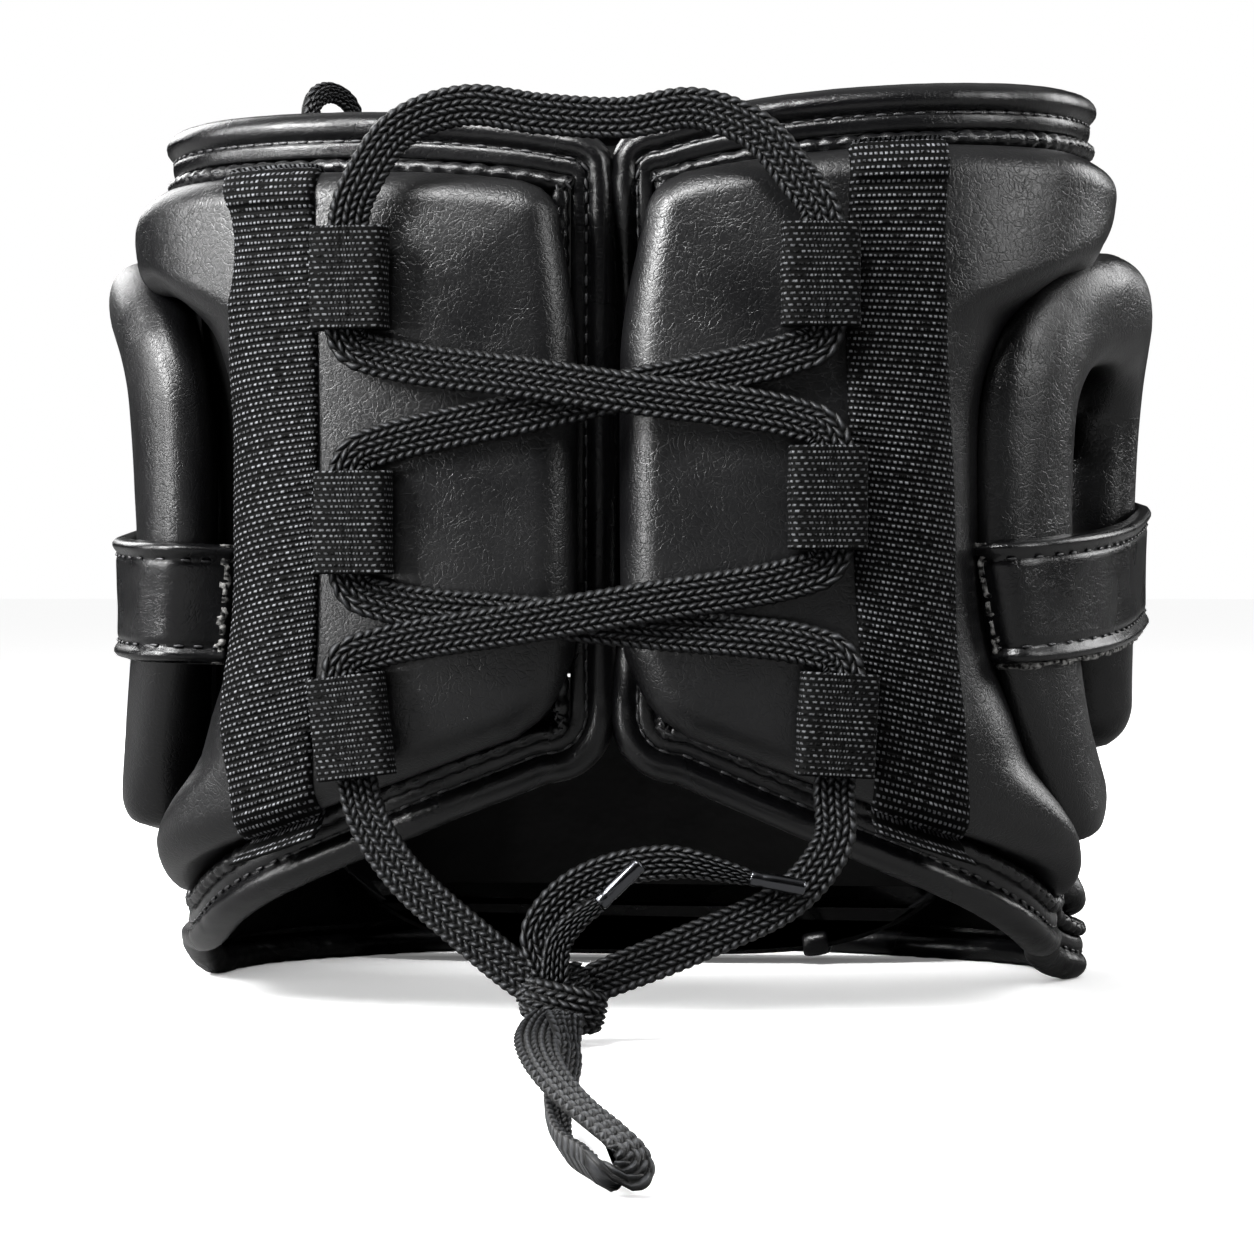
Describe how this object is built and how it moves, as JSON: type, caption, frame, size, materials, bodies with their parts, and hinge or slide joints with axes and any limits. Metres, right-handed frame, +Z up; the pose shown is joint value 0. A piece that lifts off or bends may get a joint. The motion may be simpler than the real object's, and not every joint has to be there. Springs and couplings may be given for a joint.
{
  "type": "head guard",
  "caption": "Padded leather boxing head guard, laced up at the back through webbing loops, with ear guards, cheek, brow and chin pads and a chin strap.",
  "frame": {"origin": "on the table under the middle of the guard, loose lace left out", "axes": "+Z up, +Y towards the face, +X to the wearer's right"},
  "size_m": [0.2552, 0.4794, 0.2308],
  "materials": {
    "leather": "satin black leather, lightly creased",
    "lining": "matte black lining leather",
    "webbing": "ribbed black webbing",
    "lace": "flat black braid",
    "aglet": "dark plated metal tube"
  },
  "bodies": {
    "root": {"lining": "lining", "edge_roll_left": "leather", "edge_roll_right": "leather", "face_roll": "leather", "back_pad_left": "leather", "back_pad_right": "leather", "brow_pad": "leather", "chin_pad": "leather", "cheek_pad_left": "leather", "cheek_pad_right": "leather", "ear_guard_left": "leather", "ear_guard_right": "leather", "ear_strap_left": "leather", "ear_strap_right": "leather", "webbing_left": "webbing", "webbing_right": "webbing", "lace_loop_left_1": "webbing", "lace_loop_left_2": "webbing", "lace_loop_left_3": "webbing", "lace_loop_right_1": "webbing", "lace_loop_right_2": "webbing", "lace_loop_right_3": "webbing", "chin_strap": "leather", "strap_keeper": "leather", "hang_loop": "lace", "lace_laced": "lace", "lace_knot": "lace", "lace_bow": "lace", "lace_end_short": "lace", "lace_end_long": "lace", "aglet_short": "aglet", "aglet_long": "aglet"}
  },
  "joints": []
}
